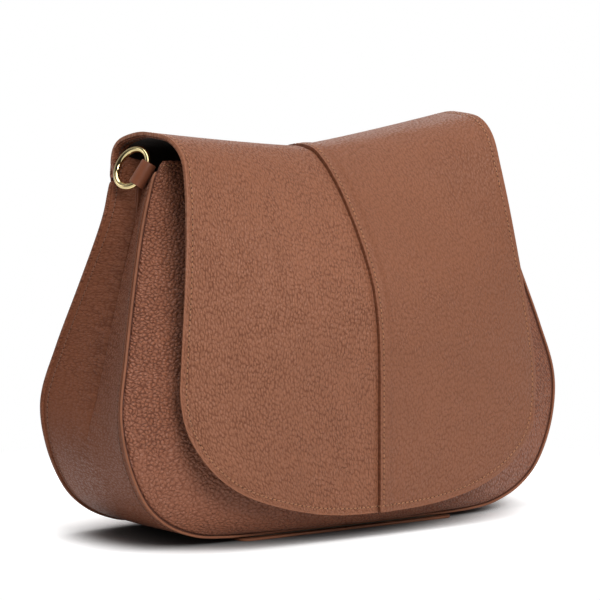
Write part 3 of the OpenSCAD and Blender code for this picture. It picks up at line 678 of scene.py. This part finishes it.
def leather_sheet(name, face, columns, rows, thickness, material, body, slot, stands_for, depth=0.0,
                  rounding=0.5, rim_line=None, rim_reach=1.6, rim=1, press=None, segments=3):
    """A skin with its outer side at a depth under a face, with a thickness and rounded rims.

    press gives how far the outer side alone is raised or pressed in."""
    def outward(a, b):
        return normal(face, a, b)

    def shape(a, b):
        under = depth(a, b) if callable(depth) else depth
        return face[0](a, b) - outward(a, b) * np.reshape(under, (-1, 1) if np.ndim(under) else ())

    piece, a, b = cut_cloth(name, columns, rows, shape, outward)
    apply(piece, "SOLIDIFY", thickness=thickness * MM, offset=-1, use_even_offset=True, use_rim=True)
    if press:
        co = vertices(piece)
        co[:len(a)] += outward(a, b) * press(a, b)[:, None] * MM
        move_vertices(piece, co)
    if rounding:
        apply(piece, "BEVEL", width=rounding * MM, segments=segments, limit_method="ANGLE",
              angle_limit=math.radians(50), use_clamp_overlap=True)
    if rim_line is not None:
        mark_rim(piece, rim_line, rim_reach, rim)
    return finished(piece, material, body, slot, *stands_for)


def cloth_sheet(name, node, face, columns, rows, depth, body="bag", rounding=0.2):
    leather_sheet(name, face, columns, rows, lining_t, lining_weave, body, "lining_cloth", (node,),
                  depth=depth, rounding=rounding)


def sweep(name, path, first, second, profile, material, body, slot, stands_for=()):
    """A closed profile carried along a path. first and second are the profile's axes at each point."""
    profile = np.asarray(profile + profile[:1], float)
    k = np.arange(len(profile))

    def shape(a, b):
        i, j = np.rint(b).astype(int), np.rint(a).astype(int)
        return path[i] + first[i] * profile[j, 0:1] + second[i] * profile[j, 1:2]

    piece = cut_cloth(name, k, np.arange(len(path)), shape, closed=True)[0]
    close_up(piece)
    return finished(piece, material, body, slot, *stands_for)


def rounded(w, h, r, steps=3):
    """The outline of a rounded oblong of width w and height h about its middle."""
    corners = ((1, 1), (-1, 1), (-1, -1), (1, -1))
    return [(x * (w / 2 - r) + r * math.cos(a), y * (h / 2 - r) + r * math.sin(a))
            for k, (x, y) in enumerate(corners) for a in np.radians(90 * (k + np.linspace(0, 1, steps + 1)))]


def settle(surface, a, b, target, rounds=12):
    """The places on a surface that lie nearest to the targets."""
    a, b = a.astype(float).copy(), b.astype(float).copy()
    h = 1e-4
    for _ in range(rounds):
        p = surface(a, b)
        da = (surface(a + h, b) - surface(a - h, b)) / (2 * h)
        db = (surface(a, b + h) - surface(a, b - h)) / (2 * h)
        r = target - p
        aa, ab, bb = (da * da).sum(-1), (da * db).sum(-1), (db * db).sum(-1)
        ra, rb = (da * r).sum(-1), (db * r).sum(-1)
        det = np.maximum(aa * bb - ab * ab, 1e-9)
        a += 0.8 * np.clip((ra * bb - rb * ab) / det, -0.05, 0.05)
        b += 0.8 * np.clip((rb * aa - ra * ab) / det, -0.05, 0.05)
    return a, b


def between(rows, index):
    """The rows at places between whole numbers."""
    return np.stack([np.interp(index, np.arange(len(rows)), column) for column in rows.T], axis=-1)


def run_along(line):
    """How far along a line of points each of them lies."""
    return np.concatenate([[0], np.linalg.norm(np.diff(line, axis=0), axis=1).cumsum()])


def even_steps(line, pitch):
    """Even places along a line of points: centres, directions and their places in the line."""
    run = run_along(line)
    count = max(2, int(round(run[-1] / pitch)))
    index = np.interp((np.arange(count) + 0.5) / count * run[-1], run, np.arange(len(line)))
    return between(line, index), unit(between(line, index + 0.5) - between(line, index - 0.5)), index


def modelled_once(segments, rings, size):
    """A small rounded shape, long along X: its points and faces."""
    bpy.ops.mesh.primitive_uv_sphere_add(segments=segments, ring_count=rings, radius=1)
    piece = bpy.context.object
    edit(piece)
    bpy.ops.transform.rotate(value=math.pi / 2, orient_axis="Y", center_override=(0, 0, 0))
    bpy.ops.transform.resize(value=size)
    end_edit()
    co = vertices(piece)
    faces = [tuple(face.vertices) for face in piece.data.polygons]
    bpy.data.objects.remove(piece)
    return co, faces


stitch_length, stitch_pitch, stitch_lift, hole_lift = 2.3, 3.2, 0.12, 0.02
stitch_shape = modelled_once(8, 5, (stitch_length / 2, 0.36, 0.30))
hole_shape = modelled_once(6, 4, (0.42, 0.40, 0.16))


def repeated(name, shape, centres, along, out, material, body, slot):
    """Copies of one small shape, each laid along a line on a surface."""
    co, faces = shape
    across = unit(np.cross(out, along))
    out = np.cross(along, across)
    n = len(co)
    points = (centres[:, None, :] + co[None, :, 0:1] * along[:, None, :]
              + co[None, :, 1:2] * across[:, None, :] + co[None, :, 2:3] * out[:, None, :])
    mesh = bpy.data.meshes.new(name)
    mesh.from_pydata((points.reshape(-1, 3) * MM).tolist(), [],
                     [tuple(k * n + v for v in face) for k in range(len(centres)) for face in faces])
    piece = bpy.data.objects.new(name, mesh)
    scene.collection.objects.link(piece)
    return finished(piece, material, body, slot)


def stitch_row(name, face, a, b, body, material=tan_thread, slot="tan_leather", depth=0.0, slant=7):
    """A row of slanted stitches along the places (a, b) of a face, with a hole between each two."""
    a, b = np.broadcast_arrays(np.asarray(a, float), np.asarray(b, float))
    out = normal(face, a, b)
    line = face[0](a, b) - out * depth
    centres, along, index = even_steps(line, stitch_pitch)
    out = unit(between(out, index))
    across = np.cross(out, along)
    slanted = unit(along + across * math.tan(math.radians(slant)))
    repeated(name, stitch_shape, centres + out * stitch_lift, slanted, out, material, body, slot)
    holes = (centres[1:] + centres[:-1]) / 2
    repeated(name + "_holes", hole_shape, holes + out[1:] * hole_lift, along[1:], out[1:], needle_shade, body,
             slot)


# ---- flap
edge_steps, foot_steps = 900, 600
side_u, foot_q = np.linspace(0, 2, edge_steps), np.linspace(-1, 1, foot_steps)
outline_q = np.concatenate([-np.ones(edge_steps), foot_q, np.ones(edge_steps)])
outline_u = np.concatenate([side_u, np.full(foot_steps, 2), side_u[::-1]])
flap_outline = flap_surface(outline_q, outline_u)
stitch_inset, groove_depth, groove_half = 3.9, 0.30, 1.1


def flap_press(q, u):
    """How the flap's outer side stands: the stitched groove along its edge, the folded edge of the right
    half, and the left half drawn down to it."""
    base = flap_surface(q, u)
    gap = distance_to(base, flap_outline)
    groove = groove_depth * np.exp(-((gap - stitch_inset) / groove_half) ** 2)
    x = base[:, 0]
    rise = np.clip((seam_fold + 2.5 - x) / 3.5, 0, 1)
    fold = np.where(x > 0, seam_step * rise * rise * (3 - 2 * rise), 0)
    rows = np.where(x > 0, 0.22 * np.exp(-((x - seam_stitch_x) / 0.9) ** 2), 0)
    fall = np.clip((x + 4.5) / 4.5, 0, 1)
    drawn = np.where(x <= 0, 1.2 * fall * fall * (3 - 2 * fall), 0)
    return fold - groove - rows - drawn


def flap_leather(q, u):
    shape = np.shape(np.broadcast_arrays(q, u)[0])
    q, u = (np.asarray(k, float).ravel() for k in np.broadcast_arrays(q, u))
    out = normal(flap_face, q, u)
    return (flap_surface(q, u) + out * flap_press(q, u)[:, None]).reshape(*shape, 3)


seam_stitch_x = 2.7
near_edge = (2.4, 3.1, 3.6, 4.1, 4.7, 5.8)
fold_columns = flap_q(np.array([0.1, 1.3, 2.0, 2.6, 3.2, 4.0, 5.5, 7.0, 8.0, 9.2, 10]))
outer_columns = 1 - np.array([0, *near_edge]) / corner_w
middle_columns = np.linspace(fold_columns[-1], outer_columns[-1], 44)[1:-1]
half_columns = np.sort([*fold_columns, *middle_columns, *outer_columns])
flap_rows = np.concatenate([
    np.linspace(0, 1, 105)[:-1],
    np.linspace(1, 2 - 6.6 / corner_h, 26),
    2 - np.array([*near_edge[::-1], 0]) / corner_h])
flap_layer = flap_total - lining_t - 0.1
for label, columns, material, stands_for in (
        ("left", -half_columns[::-1], flap_hide, ("flap_left_panel", "flap_stiffener")),
        ("right", half_columns, flap_hide_shaded_right, ("flap_right_panel",))):
    leather_sheet("flap_leather_" + label, flap_face, columns, flap_rows, flap_layer, material, "flap",
                  "tan_leather", stands_for, rounding=0.95, segments=4, rim_line=flap_outline, rim_reach=1.7,
                  press=flap_press)

# The flap's inner side: a cloth in the middle, and a leather border round it
border_in, border_out = 9.0, 0.9
q_out, q_in = 1 - border_out / corner_w, 1 - border_in / corner_w
u_out, u_in = 2 - border_out / corner_h, 2 - border_in / corner_h
inner_rows = np.concatenate([np.linspace(0.004, 1, 90)[:-1], np.linspace(1, u_in, 22)])
inner = flap_total - lining_t
cloth_sheet("flap_lining_cloth", "flap_lining", flap_face, np.linspace(-q_in, q_in, 75), inner_rows, inner,
            "flap", 0.25)
for label, columns, rows in (("left", np.linspace(-q_out, -q_in - 0.002, 8), inner_rows),
                             ("right", np.linspace(q_in + 0.002, q_out, 8), inner_rows),
                             ("lower", np.linspace(-q_out, q_out, 91), np.linspace(u_in + 0.003, u_out, 8))):
    leather_sheet(f"flap_{label}_border", flap_face, columns, rows, lining_t + 0.1, gusset_hide_shaded, "flap",
                  "dark_leather", (), depth=inner, rounding=0.3)

# The stitched line runs inside the whole outline of the flap
along = unit(np.gradient(flap_outline, axis=0))
inward = unit(np.cross(normal(flap_face, outline_q, outline_u), along))
middle = flap_surface(outline_q * 0.5, np.minimum(outline_u, 1.6))
inward *= np.sign(np.sum((middle - flap_outline) * inward, axis=1))[:, None]
target = flap_outline + inward * stitch_inset
row_q, row_u = settle(flap_surface, outline_q * (1 - stitch_inset / corner_w), np.minimum(outline_u, 1.96),
                      target)
# Its ends stay clear of the hinge, and every second place is enough
row_q, row_u = row_q[14:-14:2], row_u[14:-14:2]
outer_face = (flap_leather, *flap_face[1:])
stitch_row("flap_edge_stitches", outer_face, row_q, row_u, "flap")
stitch_row("flap_inner_stitches", (flap_surface, 1, flap_face[2]), row_q, row_u, "flap", lining_thread,
           "dark_leather", depth=-flap_total - 0.1, slant=-7)
stitch_row("flap_seam_stitches", outer_face, flap_q(seam_stitch_x), np.linspace(0.03, 2 - 4.6 / corner_h, 500),
           "flap")

# ---- body panels


foot_run, foot_share, rim_steps = 190, 0.45, 400


def curled(face, curl, reach, corner):
    """A panel whose rim turns inwards just before the seam, with the soft unevenness of filled leather."""
    surface = face[0]

    def shape(s, t):
        base = surface(s, t)
        e = np.abs(surface(np.sign(s) * np.ones_like(s), t)[..., 0])
        gap = (1 - np.abs(s)) * e
        fall = np.clip(1 - gap / reach, 0, 1) ** 2 * curl
        # Along the base the rim turns in as well, but less
        foot = np.clip(1 - t * foot_run / reach, 0, 1) ** 2 * curl * foot_share
        x, z = base[..., 0], base[..., 2]
        soft = (0.5 + 0.5 * np.sin(x / 13.0 + 1.3 * np.sin(z / 21.0)) * np.sin(z / 17.0 + 0.7)) * 0.55
        soft = soft * np.clip(gap / 14, 0, 1) * np.clip(z / 30, 0, 1)
        # The upper corners are rounded off
        drop = np.clip(4.5 - gap, 0, None) ** 2 / 9 * np.clip(1 - (1 - t) * body_h / 8, 0, 1) * corner
        return (base + normal(face, s, t) * (soft - np.maximum(fall, foot))[..., None]
                - drop[..., None] * np.array([0, 0, 1]))
    return (shape, *face[1:])


front_leather, back_leather = curled(front_face, 0.95, 3.2, 1), curled(back_face, 1.2, 3.2, 0)
widest = body_w / 2
near_rim = np.array([0, 0.9, 1.8, 3, 4.2]) / widest
panel_columns = np.sort([*np.linspace(-0.955, 0.955, 90), *(1 - near_rim), *(near_rim - 1)])
near_foot = [0, 0.006, 0.012, 0.018]


# The panels' rims are darkened with painted shade along the seams' grooves
for name, leather, rows, last, reach in (
        ("front", front_leather, 90, 1, 0.95), ("back", back_leather, 84, hinge_share, 0.6)):
    s, t, ones = np.linspace(-1, 1, rim_steps), np.linspace(0, last, rim_steps), np.ones(rim_steps)
    rim = np.concatenate([leather[0](*at) for at in ((-ones, t), (ones, t), (s, ones * 0))])
    leather_sheet(name + "_leather", leather, panel_columns, [*near_foot, *np.linspace(0.03, last, rows)],
                  panel_t, body_hide, "bag", "tan_leather", (name + "_panel",), rounding=0.45, rim_line=rim,
                  rim=-1, rim_reach=reach)

gusset_rows = np.linspace(0, 1, 110)
gusset_columns = np.concatenate([np.linspace(*run) for run in ((0, 0.46, 16), (0.47, 0.53, 9), (0.54, 1, 16))])


def left_side(surface):
    def shape(v, t):
        return surface(v, t) * np.array([-1, 1, 1])
    return shape


lining_inset = panel_t + 2 * lining_t + 4 * layer_gap


def gusset_lining_surface(v, t):
    share = lining_inset / (back_seam(t) - front_seam(t))
    return creased_gusset(mix(share, 1 - share, v), t)


for label, turned, side in (("left", left_side, -1), ("right", lambda f: f, 1)):
    skin, cloth = ((turned(surface), side, (1, 0.02, 1)) for surface in (creased_gusset, gusset_lining_surface))
    rim = np.concatenate([skin[0](np.full(rim_steps, v), np.linspace(0, 1, rim_steps)) for v in (0.0, 1.0)])
    leather_sheet(label + "_gusset_leather", skin, gusset_columns, gusset_rows, gusset_t, gusset_hide_shaded, "bag",
                  "dark_leather", (label + "_gusset",), rounding=0.4, rim_line=rim)
    cloth_sheet(label + "_gusset_cloth", label + "_gusset_lining", cloth, gusset_columns, gusset_rows[::2],
                gusset_t + layer_gap)
    t = np.linspace(0.1, 0.985, 500)
    share = 3.4 / (back_seam(t) - front_seam(t) - 2 * gusset_margin(t))
    for where, v in (("front", share), ("back", 1 - share)):
        stitch_row(f"{label}_gusset_{where}_stitches", skin, v, t, "bag", dark_thread, "dark_leather")

# ---- seam edges
side_steps, base_steps = 260, 58


def seam_rib(name, depth, last, toward, inset, wide, deep, tuck, reach, material, *stands_for):
    """A strip along a seam, left side, base and right side: the gusset's turned edge, or what lies behind."""
    t = np.concatenate([np.linspace(last, 0, side_steps), np.linspace(0, last, side_steps)[1:]])
    sign = np.concatenate([-np.ones(side_steps), np.ones(side_steps - 1)])
    p, o = seam(t), seam_out(t)
    path = xyz(sign * p[:, 0], depth(t), p[:, 1])
    outwards = xyz(sign * o[:, 0], np.zeros(len(t)), o[:, 1])
    # Along the base the two halves are joined by a straight run
    corner = side_steps - 1
    run = path[corner] * xyz(np.linspace(1, -1, base_steps + 2)[1:-1], 1, 1)
    path = np.concatenate([path[:side_steps], run, path[side_steps:]])
    outwards = np.concatenate([outwards[:side_steps], np.zeros((base_steps, 3)), outwards[side_steps:]])
    outwards[corner:corner + base_steps + 2] = (0, 0, -1)
    along_y = np.tile([0.0, 1.0, 0.0], (len(path), 1))
    path = path + along_y * toward - outwards * inset
    to_end = np.minimum(np.arange(len(path)), np.arange(len(path))[::-1])[:, None]
    # The rib's ends tuck in behind the panel's upper corners, and are rounded by drawing in
    path = path - outwards * np.clip(1 - to_end / reach, 0, 1) ** 2 * tuck
    ease = np.sqrt(np.clip(1 - (1 - np.clip(to_end / 2, 0, 1)) ** 2, 0.02, 1))
    return sweep(name, path, outwards * ease, along_y * ease, rounded(wide, deep, min(wide, deep) * 0.45, 4),
                 material, "bag", "tan_leather", stands_for)


seam_rib("front_seam_edge", front_seam, 0.978, 0.45, 0.35, 1.6, 1.4, 1.2, 4, turned_edge, "front_piping")
# The allowance is coloured dark: painted shade in the groove between the seam's edge and the panel
seam_rib("front_seam_allowance", front_seam, 0.972, 1.35, 1.9, 3.4, 0.9, 1.2, 4, painted_seam_shade)
seam_rib("back_seam_edge", back_seam, hinge_share - 0.002, -0.9, 0, 2.6, 3.2, 0.8, 10, gusset_hide_shaded,
         "back_piping")

# ---- linings and facings
lining_side = 1 - (gusset_t + lining_t + 4 * layer_gap) / (body_w / 2)
cloth_columns = lining_side * np.linspace(-1, 1, 61)
lining_from = panel_t + layer_gap
panels = (("front", front_face, 1), ("back", back_face, hinge_share))
for label, face, last in panels:
    cloth_sheet(label + "_lining_cloth", label + "_lining", face, cloth_columns,
                np.linspace(0.042, facing_share, 60), lining_from)
for label, face, last in panels:
    leather_sheet(label + "_facing_leather", face, cloth_columns,
                  np.linspace(facing_share + seam_gap / body_h, last, 14), lining_t, flap_hide, "bag",
                  "tan_leather", (label + "_facing",), depth=lining_from, rounding=0.25)

# The hem of the mouth
stitch_row("mouth_hem_stitches", front_leather, np.linspace(-0.985, 0.985, 700), 1 - 2.3 / body_h, "bag")

# ---- the lapped strip over the flap's hinge


def hinge_strip_shape(c, row):
    """Below nought the strip lies on the back panel, above it on the flap, with its sides rolled back."""
    below = row <= 0
    t = hinge_share + np.minimum(row, 0) * 0.0028 - 0.001
    e = panel_edge(t)[..., 0]
    wide = np.interp(row, [-14, 2, 10], [124.8, 124.4, 119.4])
    on_back = back_surface(np.clip(c * wide / e, -0.99, 0.99), t)
    u = 0.004 + np.maximum(row, 0) * 0.0068
    x = np.abs(c) * wide
    on_flap = flap_surface(np.sign(c) * np.clip(flap_q(x, flap_edge(u)[..., 0]), 0, 0.99), u)
    p = np.where(below[..., None], on_back, on_flap)
    roll = 0.4 * np.abs(c) ** 10 * np.where(below, 1, np.clip(1 - row / 7, 0, 1))
    return xyz(c * wide, p[..., 1] + 0.35 + roll, p[..., 2])


strip_rows = np.array([-14, -13.4, -12, -10, -8, -6, -5, -4.2, -3.4, -2.6, -1.8, -1, -0.2, 0.6, 1.4, 2.2, 3,
                       3.8, 4.6, 5.4, 6.2, 7, 8, 9, 9.6, 10.2])
strip_columns = np.array([-1, -0.985, *np.linspace(-0.97, 0.97, 70), 0.985, 1])


def strip_settled(c, row):
    """The strip with the kink at the hinge drawn out into a soft bend."""
    return sum(weight * hinge_strip_shape(c, row + step) for step, weight in
               ((-2.4, 0.15), (-1.2, 0.2), (0, 0.3), (1.2, 0.2), (2.4, 0.15)))


strip_t = 1.2
strip_face = (strip_settled, -1, (0.99, -13, 9))
hinge_strip = leather_sheet("hinge_strip", strip_face, strip_columns, strip_rows, strip_t, body_hide, None,
                            "tan_leather", (), depth=-strip_t, rounding=0.4)
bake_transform(hinge_strip)
for label, row, body in (("lower", -11.5, "bag"), ("upper", 7.6, "flap")):
    stitch_row(f"hinge_{label}_stitches", strip_face, np.linspace(-0.97, 0.97, 500), row, body, depth=-strip_t)

# ---- base


def slab(name, low, high, corner, rim, material, slot, node):
    """A flat piece cut with rounded corners, and its rims taken off."""
    low, high = Vector(low), Vector(high)
    bpy.ops.mesh.primitive_cube_add(size=1)
    piece = bpy.context.object
    piece.name = piece.data.name = name
    edit(piece)
    bpy.ops.transform.resize(value=high - low)
    bpy.ops.transform.translate(value=(low + high) / 2)
    bpy.ops.mesh.select_mode(type="EDGE")
    bpy.ops.mesh.select_all(action="DESELECT")
    end_edit()
    thin = min(range(3), key=lambda k: high[k] - low[k])
    for edge in piece.data.edges:
        a, b = (piece.data.vertices[k].co for k in edge.vertices)
        edge.select = abs(a[thin] - b[thin]) > 1e-6
    bpy.ops.object.mode_set(mode="EDIT")
    bpy.ops.mesh.bevel(offset=corner, segments=8, affect="EDGES")
    end_edit()
    apply(piece, "BEVEL", width=rim, segments=3, limit_method="ANGLE", angle_limit=math.radians(50))
    return finished(piece, material, "bag", slot, node)


slab("base_leather", *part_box("base_strip"), 0.0064, 0.0005, turned_edge, "dark_leather", "base_strip")
slab("base_cloth", *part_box("base_lining"), 0.002, 0.0002, lining_weave, "lining_cloth", "base_lining")
slab("zip_tape_cloth", *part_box("zip_tape"), 0.0015, 0.0002, tape_weave, "lining_cloth", "zip_tape")
tape_low, tape_high = (np.array(corner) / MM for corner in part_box("zip_tape"))


def tape_face(a, b):
    return xyz(a, tape_low[1], b)


for label, z in (("upper", tape_high[2] - 1.8), ("lower", tape_low[2] + 1.8)):
    stitch_row(f"zip_{label}_stitches", (tape_face, 1, (1e3, -1e3, 1e3)),
               np.linspace(tape_low[0] + 2, tape_high[0] - 2, 80), z, "bag", lining_thread, "lining_cloth")

# ---- slip pocket on the front lining
slip_w, slip_gap, slip_low, slip_high = 140, 9, 0.42, 0.70


def slip_surface(q, t):
    return front_surface(q * slip_w / 2 / panel_edge(t)[..., 0], t)


slip_face = (slip_surface, 1, panel_limits)


def slip_depth(q, t):
    return (lining_from + lining_t + layer_gap
            + slip_gap * np.minimum(1, (1 - np.abs(q)) / 0.12) * np.minimum(1, (t - slip_low) / 0.05))


def slip_inner(q, t):
    return slip_surface(q, t) - normal(slip_face, q, t) * (slip_depth(q, t) + lining_t + 0.1)[..., None]


cloth_sheet("slip_pocket_cloth", "slip_pocket", slip_face, np.linspace(-1, 1, 61),
            np.linspace(slip_low, slip_high, 40), slip_depth)
for label, t in (("hem", slip_high - 0.018), ("foot", slip_low + 0.006)):
    stitch_row(f"slip_pocket_{label}_stitches", (slip_inner, -1, panel_limits), np.linspace(-0.97, 0.97, 300),
               t, "bag", lining_thread, "lining_cloth")

# ---- ring tabs and rings
tab_w, tab_t, roll_r, ring_off, ring_r, wire_r = 16, 1.2, 4.948, 11.0523, 12.5, 2.0
roll_place = np.array([-120.271, -2.3145, 224.058])
lean_fore, lean_in, ring_turn = (math.radians(k) for k in (12, 30, 10))
strap_steps, tail_steps, turn_steps = 110, 50, 14


def turning(angle, i, j):
    """The turn of one axis towards another."""
    m = np.eye(3)
    m[i, i] = m[j, j] = math.cos(angle)
    m[j, i], m[i, j] = math.sin(angle), -math.sin(angle)
    return m


def from_roll(points):
    """Points in the roll's own frame, its axis along z, to their places on the left side."""
    return np.asarray(points, float) @ (turning(lean_in, 2, 0) @ turning(lean_fore, 1, 2)).T


def fine_curve(points, steps):
    """An even and smooth line of places through a few points."""
    points = np.asarray(points, float)
    run = run_along(points)
    return smooth(np.column_stack([run / run[-1], points]), np.linspace(0, 1, steps))


def crease(t):
    return creased_gusset(0.5, np.asarray(t, float)) * np.array([-1, 1, 1])


middle_r = roll_r - tab_t / 2
fold_end = crease(0.965) + np.array([-1.0, 0, 0])
to_fold = (fold_end - roll_place) @ from_roll(np.eye(3)).T
far = math.hypot(to_fold[0], to_fold[1])
ahead = np.array([to_fold[0], to_fold[1], 0]) / far
aside = np.array([-ahead[1], ahead[0], 0])
# The strap comes from the fold, goes round the ring's wire and returns to the fold
strap = [(0.70 * far, 0.9), (0.5 * far, 2.6)]
strap += [(middle_r * math.cos(a), middle_r * math.sin(a)) for a in np.radians(np.linspace(62, 340, 22))]
strap += [(0.46 * far, -0.6), (0.62 * far, -0.75)]
strap = [from_roll(x * ahead + y * aside) + roll_place for x, y in strap]
strap_line = fine_curve([fold_end + [0.3, 0.5, 0], *strap, fold_end - [0, 0.8, 0]], strap_steps)
tail_line = fine_curve([(-118.2, 5.6, 222.5), (-119.7, 4.7, 208), (-121.6, 3.4, 198), (-123.8, 2.2, 187.5)],
                       tail_steps)
end_width = unit(crease(0.985) - crease(0.945))
for label, mirror in (("left", np.array([1, 1, 1])), ("right", np.array([-1, 1, 1]))):
    ahead = unit(np.gradient(strap_line, axis=0))
    steps = np.arange(strap_steps)
    near = np.clip(np.minimum(steps, steps[::-1]) / turn_steps, 0, 1)[:, None]
    wide = unit(mix(end_width, from_roll([0, 0, 1]), near))
    wide = unit(wide - ahead * np.sum(wide * ahead, axis=1, keepdims=True))
    sweep(label + "_tab_strap", strap_line * mirror, np.cross(wide, ahead) * mirror,
          wide * mix(0.74, 1, near) * mirror, rounded(tab_t, tab_w, 0.5), tab_hide, "bag", "dark_leather",
          (label + "_tab",))
    for side_name, y in (("inner", 2.0), ("outer", 0.0)):
        sweep(f"{label}_tab_tail_{side_name}", (tail_line + [2.6, y, 0]) * mirror,
              np.tile([1.0, 0, 0], (tail_steps, 1)) * mirror, np.tile([0, 1.0, 0], (tail_steps, 1)),
              rounded(5.0, 1.25, 0.5), tab_hide, "bag", "dark_leather")

    bpy.ops.mesh.primitive_torus_add(major_radius=ring_r, minor_radius=wire_r, major_segments=128,
                                     minor_segments=32)
    ring = bpy.context.object
    ring.name = ring.data.name = label + "_strap_ring"
    co = vertices(ring)
    co = co[:, [2, 1, 0]] * np.array([1, 1, -1]) + np.array([0, ring_off, 0])
    move_vertices(ring, (from_roll(co @ turning(ring_turn, 0, 1).T) + roll_place) * mirror * MM)
    close_up(ring, caps=False)
    finished(ring, ring_brass, label + "_ring", "gold_metal", label + "_ring")

# ---- pieces kept from the frame
for node in ("base_board", "zip_teeth", "zip_slider", "zip_puller", "snap_socket", "snap_stud"):
    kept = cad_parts[node]
    kept.data.materials.clear()
    kept.data.materials.append(board_fibre if node == "base_board" else small_brass)
